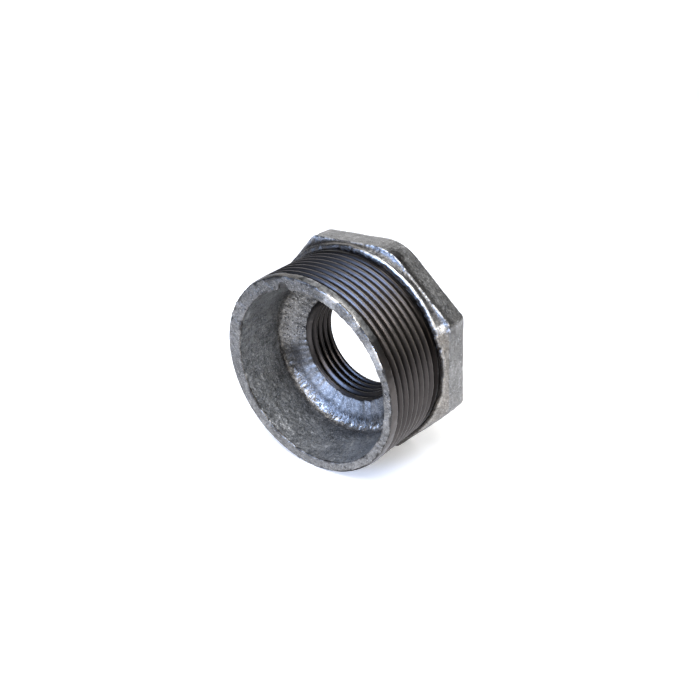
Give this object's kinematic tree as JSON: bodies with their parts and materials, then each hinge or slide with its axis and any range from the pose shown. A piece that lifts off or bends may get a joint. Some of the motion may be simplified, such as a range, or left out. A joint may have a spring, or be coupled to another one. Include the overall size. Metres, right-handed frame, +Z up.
{
  "type": "reducing bushing",
  "caption": "Galvanised reducing bushing with an eight-sided head, a taper male thread on its shank and a smaller parallel female thread through its head.",
  "frame": {"origin": "centre of the female mouth, on the flow axis, in the plane of the head's outer face", "axes": "+Y out of the female mouth along the flow axis, so the male end faces -Y; +Z up, with one flat of the head facing straight down; +X completes the frame"},
  "size_m": [0.0636, 0.0312, 0.0636],
  "materials": {
    "iron": "machined thread, dark and lightly oiled",
    "zinc": "dull hot-dip galvanised, as cast"
  },
  "bodies": {
    "root": {"casting": "iron", "zinc_head": "zinc", "zinc_cavity": "zinc"}
  },
  "joints": []
}
